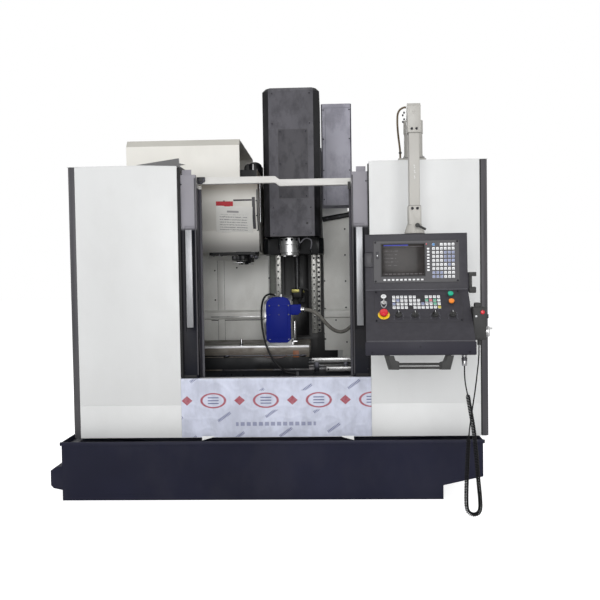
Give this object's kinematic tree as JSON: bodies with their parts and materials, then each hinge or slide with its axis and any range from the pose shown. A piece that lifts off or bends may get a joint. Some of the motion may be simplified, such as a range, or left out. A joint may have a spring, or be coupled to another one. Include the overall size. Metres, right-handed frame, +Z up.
{
  "type": "cnc machining center",
  "caption": "Vertical machining centre with sliding front doors, cross table with rotary table, moving head, tool magazine and a control pendant on a swing arm.",
  "frame": {"origin": "middle of the footprint, on the floor", "axes": "+Z up, +Y from the operator to the rear, +X to the operator's right"},
  "size_m": [2.732, 3.1024, 2.79],
  "materials": {
    "cabin_white": "smooth satin powder coat",
    "cabin_dark": "satin dark grey powder coat",
    "pan_dark": "satin navy-grey powder coat with dust and splashes",
    "guard_grey": "satin light grey coat, oily in use",
    "cover_cream": "smooth satin cream coat",
    "duct_lavender": "satin lavender-grey coat",
    "casting_paint": "painted casting, slightly rough",
    "head_grey": "satin dark grey coat, near-black side bands",
    "head_black": "black painted casting",
    "ground_steel": "ground",
    "table_steel": "ground cast iron with an oil film",
    "turned_steel": "fine turned",
    "pull_steel": "brushed",
    "cover_blue": "satin blue coat",
    "window_clear": "clear, slightly scratched",
    "arm_grey": "satin light grey coat",
    "pendant_dark": "fine textured dark grey coat",
    "key_white": "matt moulded",
    "black_plastic": "matt moulded",
    "stop_red": "gloss moulded",
    "start_green": "gloss moulded",
    "hold_orange": "gloss moulded",
    "cable_black": "matt sheath",
    "conduit_grey": "ribbed sheath",
    "bundle_tan": "matt sheath"
  },
  "bodies": {
    "root": {"base_casting": "casting_paint", "levelling_feet": "turned_steel", "column": "casting_paint", "guide_rails": "ground_steel", "chip_pan": "pan_dark", "front_panel_left": "cabin_white", "front_panel_right": "cabin_white", "corner_strips": "cabin_dark", "side_panels": "cabin_white", "front_apron": "cabin_white", "door_frame": "cabin_white", "inner_guards": "guard_grey", "roof_panels": "cabin_white", "magazine_roof": "cover_cream", "magazine_cover": "cover_cream", "magazine_hatch": "cover_cream", "changer_drive": "head_black", "duct_housing": "duct_lavender", "electrical_cabinet": "cabin_white", "arm_post": "arm_grey", "arm_bundle": "bundle_tan", "wall_conduit": "conduit_grey"},
    "door_left_leaf": {"door_left": "cabin_dark", "door_left_window": "window_clear", "door_left_pull": "pull_steel"},
    "door_right_leaf": {"door_right": "cabin_dark", "door_right_window": "window_clear", "door_right_pull": "pull_steel"},
    "cross_slide": {"saddle": "casting_paint", "table_rails": "ground_steel"},
    "work_table": {"table": "table_steel", "rotary_body": "turned_steel", "rotary_cover": "cover_blue", "rotary_conduit": "conduit_grey", "table_cable": "cable_black"},
    "face_plate": {"rotary_faceplate": "turned_steel"},
    "head": {"headstock": "head_black", "head_cover": "head_grey"},
    "spindle_shaft": {"spindle": "turned_steel"},
    "lead_screw": {"z_screw": "turned_steel"},
    "magazine_disc": {"tool_disc": "ground_steel"},
    "change_arm": {"changer_arm": "head_black"},
    "boom": {"arm_boom": "arm_grey"},
    "clamp": {"clamp_lever": "black_plastic"},
    "pendant": {"pendant_case": "pendant_dark", "pendant_keys": "key_white", "pendant_handle": "black_plastic", "handwheel_box": "black_plastic", "curly_cord": "cable_black"},
    "stop_button": {"emergency_stop": "stop_red"},
    "cycle_start": {"start_button": "start_green"},
    "feed_hold": {"hold_button": "hold_orange"},
    "mode_key": {"key_switch": "turned_steel"},
    "knob_1": {"selector_knob_1": "black_plastic"},
    "knob_2": {"selector_knob_2": "black_plastic"},
    "knob_3": {"selector_knob_3": "black_plastic"},
    "knob_4": {"selector_knob_4": "black_plastic"},
    "pulse_dial": {"handwheel_dial": "turned_steel"},
    "flap": {"port_flap": "pendant_dark"},
    "cabinet_leaf": {"cabinet_door": "cabin_white"}
  },
  "joints": [
    {"name": "door_left_slide", "type": "slide", "parent": "root", "child": "door_left_leaf", "axis": [1, 0, 0], "range_m": [0, 0.486]},
    {"name": "door_right_slide", "type": "slide", "parent": "root", "child": "door_right_leaf", "axis": [-1, 0, 0], "range_m": [0, 0.486]},
    {"name": "saddle_y", "type": "slide", "parent": "root", "child": "cross_slide", "axis": [0, 1, 0], "range_m": [-0.25, 0.25], "deforming": ["wall_conduit"]},
    {"name": "table_x", "type": "slide", "parent": "cross_slide", "child": "work_table", "axis": [1, 0, 0], "range_m": [-0.04, 0.76], "deforming": ["rotary_conduit", "table_cable"]},
    {"name": "rotary_spin", "type": "hinge", "parent": "work_table", "child": "face_plate", "pos_m": [-0.051, -0.05909, 1.07], "axis": [1, 0, 0], "continuous": true},
    {"name": "head_z", "type": "slide", "parent": "root", "child": "head", "axis": [0, 0, 1], "range_m": [-0.26, 0.06]},
    {"name": "screw_spin", "type": "hinge", "parent": "root", "child": "lead_screw", "pos_m": [0.134, 0.61291, 1.262], "axis": [0, 0, 1], "range_deg": [-7850, 1850]},
    {"name": "spindle_spin", "type": "hinge", "parent": "head", "child": "spindle_shaft", "pos_m": [0.104, 0.05091, 1.518], "axis": [0, 0, 1], "continuous": true},
    {"name": "magazine_spin", "type": "hinge", "parent": "root", "child": "magazine_disc", "pos_m": [-0.536, 0.31591, 1.945], "axis": [1, 0, 0], "continuous": true},
    {"name": "changer_swing", "type": "hinge", "parent": "root", "child": "change_arm", "pos_m": [-0.236, 0.05091, 1.512], "axis": [0, 0, 1], "range_deg": [-12, 12]},
    {"name": "boom_swing", "type": "hinge", "parent": "root", "child": "boom", "pos_m": [0.924, -0.70909, 2.24], "axis": [0, 0, 1], "range_deg": [-15, 30], "deforming": ["arm_bundle"]},
    {"name": "clamp_turn", "type": "hinge", "parent": "boom", "child": "clamp", "pos_m": [0.882, -1.22109, 1.64], "axis": [0, 1, 0], "range_deg": [-120, 10]},
    {"name": "pendant_swivel", "type": "hinge", "parent": "boom", "child": "pendant", "pos_m": [0.874, -1.14909, 1.597], "axis": [0, 0, 1], "range_deg": [-45, 30]},
    {"name": "stop_press", "type": "slide", "parent": "pendant", "child": "stop_button", "axis": [0.0362, 0.6914, -0.7215], "range_m": [0, 0.005], "stiffness_N_per_m": 2500},
    {"name": "start_press", "type": "slide", "parent": "pendant", "child": "cycle_start", "axis": [0.0362, 0.6914, -0.7215], "range_m": [0, 0.004], "stiffness_N_per_m": 900},
    {"name": "hold_press", "type": "slide", "parent": "pendant", "child": "feed_hold", "axis": [0.0362, 0.6914, -0.7215], "range_m": [0, 0.004], "stiffness_N_per_m": 900},
    {"name": "mode_turn", "type": "hinge", "parent": "pendant", "child": "mode_key", "pos_m": [0.68221, -1.33106, 1.2083], "axis": [-0.0362, -0.6914, 0.7215], "range_deg": [-45, 45]},
    {"name": "knob_turn_1", "type": "hinge", "parent": "pendant", "child": "knob_1", "pos_m": [0.7556, -1.4021, 1.14391], "axis": [-0.0362, -0.6914, 0.7215], "range_deg": [-135, 135]},
    {"name": "knob_turn_2", "type": "hinge", "parent": "pendant", "child": "knob_2", "pos_m": [0.84248, -1.40666, 1.14391], "axis": [-0.0362, -0.6914, 0.7215], "range_deg": [-135, 135]},
    {"name": "knob_turn_3", "type": "hinge", "parent": "pendant", "child": "knob_3", "pos_m": [0.94833, -1.41221, 1.14391], "axis": [-0.0362, -0.6914, 0.7215], "range_deg": [-135, 135]},
    {"name": "knob_turn_4", "type": "hinge", "parent": "pendant", "child": "knob_4", "pos_m": [1.04021, -1.41702, 1.14391], "axis": [-0.0362, -0.6914, 0.7215], "range_deg": [-135, 135]},
    {"name": "dial_spin", "type": "hinge", "parent": "pendant", "child": "pulse_dial", "pos_m": [1.21075, -1.41107, 1.058], "axis": [0.9986, -0.0523, 0], "continuous": true},
    {"name": "flap_swing", "type": "hinge", "parent": "pendant", "child": "flap", "pos_m": [0.58622, -1.2329, 1.4918], "axis": [-0.0035, -0.0673, -0.9977], "range_deg": [0, 110]},
    {"name": "cabinet_swing", "type": "hinge", "parent": "root", "child": "cabinet_leaf", "pos_m": [-0.325, 1.53291, 0.45], "axis": [0, 0, 1], "range_deg": [0, 110]}
  ],
  "couplings": [
    {"joint": "screw_spin", "follows": "head_z", "rad_per_m": 523.6}
  ]
}
